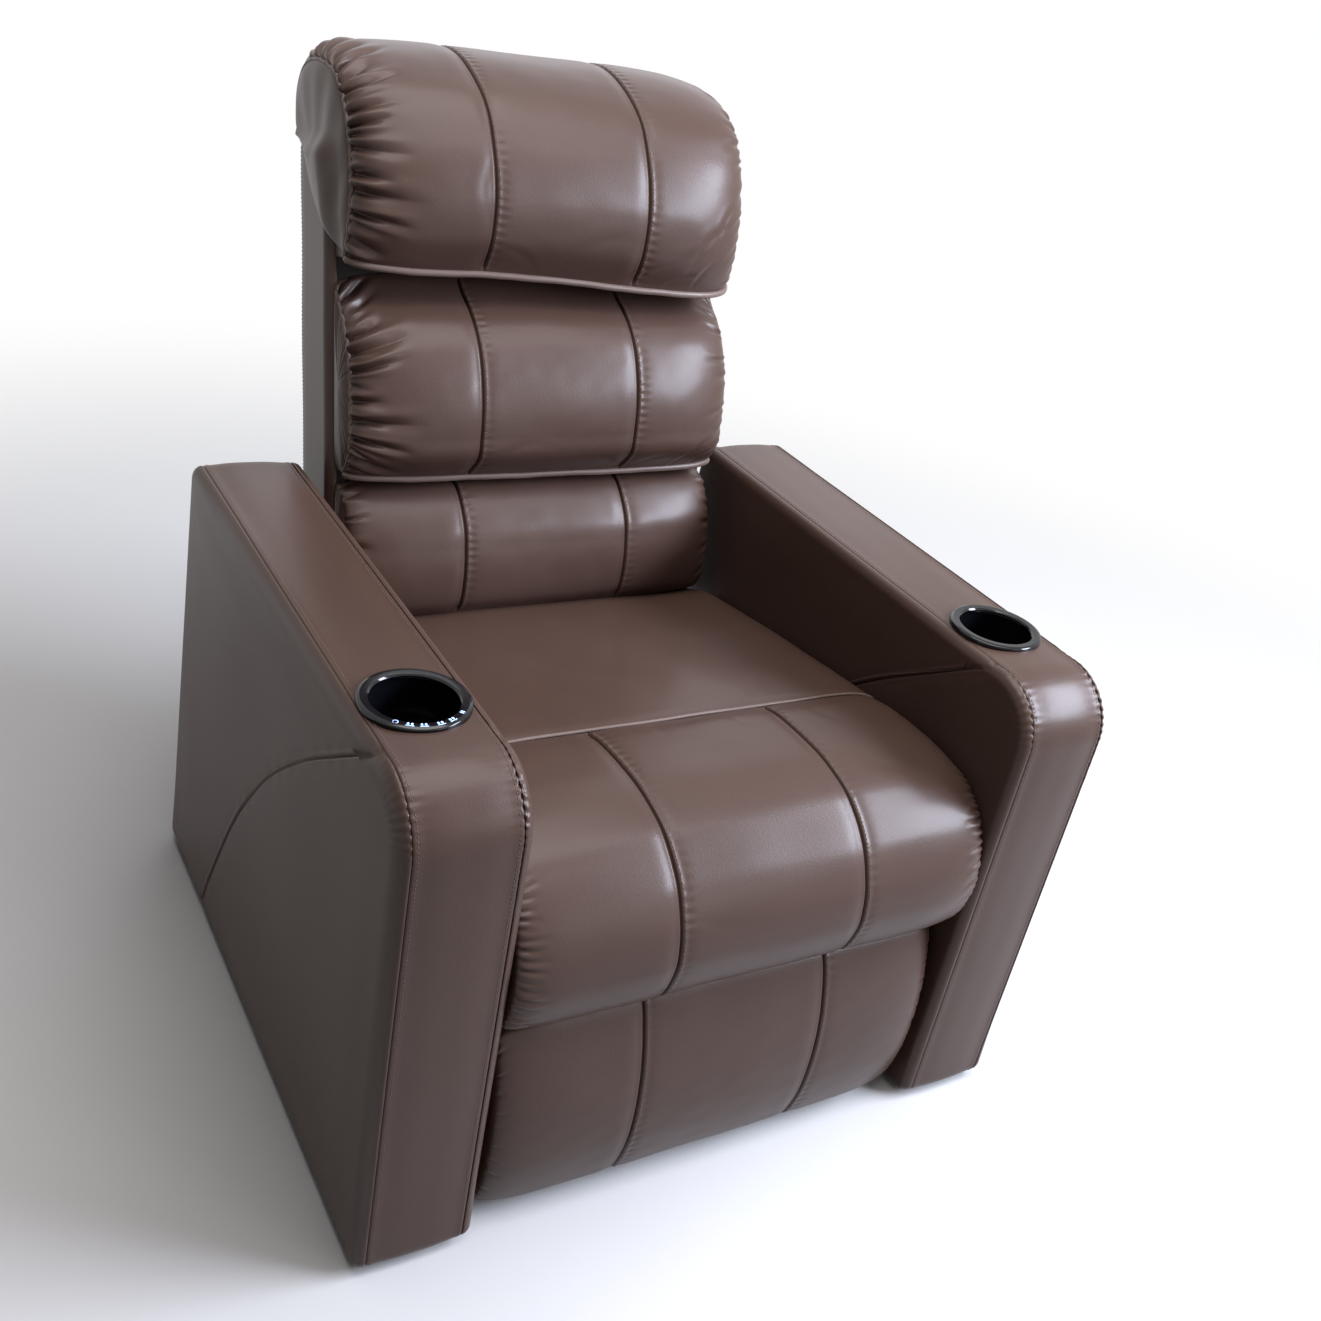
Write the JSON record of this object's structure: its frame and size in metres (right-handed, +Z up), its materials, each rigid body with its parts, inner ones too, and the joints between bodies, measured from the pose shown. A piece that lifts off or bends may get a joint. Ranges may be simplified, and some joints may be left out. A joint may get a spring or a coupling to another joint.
{
  "type": "cinema recliner seat",
  "caption": "Powered cinema recliner with box arms, cup holders, a rolled three-tier back that leans and a footrest that folds out.",
  "frame": {"origin": "on the floor, in the middle of the footprint at rest", "axes": "+X to the right of someone who faces the front, +Y from the front to the back, +Z up"},
  "size_m": [0.864, 0.9596, 1.0844],
  "materials": {
    "leatherette": "satin",
    "plywood": "matte",
    "gloss_black": "gloss",
    "matt_black": "matte",
    "zinc_steel": "satin",
    "black_steel": "satin"
  },
  "bodies": {
    "base": {"arm_frame_left": "plywood", "arm_outer_cover_left": "leatherette", "arm_inner_cover_left": "leatherette", "arm_top_cover_left": "leatherette", "glide_front_left": "matt_black", "glide_rear_left": "matt_black", "cup_holder_left": "gloss_black", "cup_rim_left": "gloss_black", "base_rail_left": "zinc_steel", "arm_frame_right": "plywood", "arm_outer_cover_right": "leatherette", "arm_inner_cover_right": "leatherette", "arm_top_cover_right": "leatherette", "glide_front_right": "matt_black", "glide_rear_right": "matt_black", "cup_holder_right": "gloss_black", "cup_rim_right": "gloss_black", "base_rail_right": "zinc_steel", "base_tube_front": "black_steel", "base_tube_rear": "black_steel", "power_supply": "matt_black"},
    "seat": {"side_plate_left": "black_steel", "side_plate_right": "black_steel", "seat_front_board": "plywood", "seat_rear_rail": "plywood", "seat_spring_1": "zinc_steel", "seat_spring_2": "zinc_steel", "seat_spring_3": "zinc_steel", "seat_deck": "leatherette", "seat_roll": "leatherette", "footrest_motor": "matt_black", "recline_motor": "matt_black", "motor_tube_front": "black_steel", "motor_tube_rear": "black_steel"},
    "drive_arms": {"drive_tube": "black_steel", "drive_link_left": "black_steel", "drive_link_right": "black_steel"},
    "carriers": {"carrier_link_left": "black_steel", "carrier_link_right": "black_steel"},
    "guides": {"guide_link_left": "black_steel", "guide_link_right": "black_steel"},
    "tilt_links": {"tilt_link_left": "black_steel", "tilt_link_right": "black_steel"},
    "footrest": {"footrest_bracket_left": "black_steel", "footrest_bracket_right": "black_steel", "footrest_board": "plywood", "footrest_pad": "leatherette"},
    "footrest_rod": {"footrest_rod": "zinc_steel"},
    "recline_rod": {"recline_rod": "zinc_steel"},
    "back": {"back_frame": "plywood", "back_spring_1": "zinc_steel", "back_spring_2": "zinc_steel", "back_spring_3": "zinc_steel", "back_cover": "leatherette", "headrest_pillow": "leatherette", "middle_pillow": "leatherette", "lower_pillow": "leatherette", "back_hinge_left": "black_steel", "back_hinge_right": "black_steel", "recline_tube": "black_steel"}
  },
  "joints": [
    {"name": "seat_glide", "type": "slide", "parent": "base", "child": "seat", "axis": [0, -1, 0], "range_m": [0, 0.08]},
    {"name": "back_recline", "type": "hinge", "parent": "seat", "child": "back", "pos_m": [0, 0.22473, 0.34], "axis": [-1, 0, 0], "range_deg": [0, 38]},
    {"name": "recline_rod_stroke", "type": "slide", "parent": "seat", "child": "recline_rod", "axis": [0, -1, 0], "range_m": [0, 0.0587]},
    {"name": "footrest_drive", "type": "hinge", "parent": "seat", "child": "drive_arms", "pos_m": [0, -0.31527, 0.23], "axis": [-1, 0, 0], "range_deg": [0, 100]},
    {"name": "footrest_rod_stroke", "type": "slide", "parent": "seat", "child": "footrest_rod", "axis": [0, -1, 0], "range_m": [0, 0.0767]},
    {"name": "carrier_level", "type": "hinge", "parent": "drive_arms", "child": "carriers", "pos_m": [0, -0.25028, 0.05146], "axis": [-1, 0, 0], "range_deg": [-100, 0]},
    {"name": "guide_swing", "type": "hinge", "parent": "seat", "child": "guides", "pos_m": [0, -0.34223, 0.25168], "axis": [-1, 0, 0], "range_deg": [0, 100]},
    {"name": "tilt_link_swing", "type": "hinge", "parent": "drive_arms", "child": "tilt_links", "pos_m": [0, -0.26225, 0.08435], "axis": [-1, 0, 0], "range_deg": [-99.3, 0]},
    {"name": "footrest_tilt", "type": "hinge", "parent": "carriers", "child": "footrest", "pos_m": [0, -0.38526, 0.15999], "axis": [-1, 0, 0], "range_deg": [0, 86]}
  ],
  "couplings": [
    {"joint": "seat_glide", "follows": "back_recline", "m_per_rad": 0.12062},
    {"joint": "recline_rod_stroke", "follows": "back_recline", "m_per_rad": 0.08836},
    {"joint": "footrest_rod_stroke", "follows": "footrest_drive", "m_per_rad": 0.04389},
    {"joint": "carrier_level", "follows": "footrest_drive", "ratio": -1},
    {"joint": "guide_swing", "follows": "footrest_drive", "ratio": 1},
    {"joint": "tilt_link_swing", "follows": "footrest_drive", "ratio": -0.993},
    {"joint": "footrest_tilt", "follows": "footrest_drive", "ratio": 0.86}
  ]
}
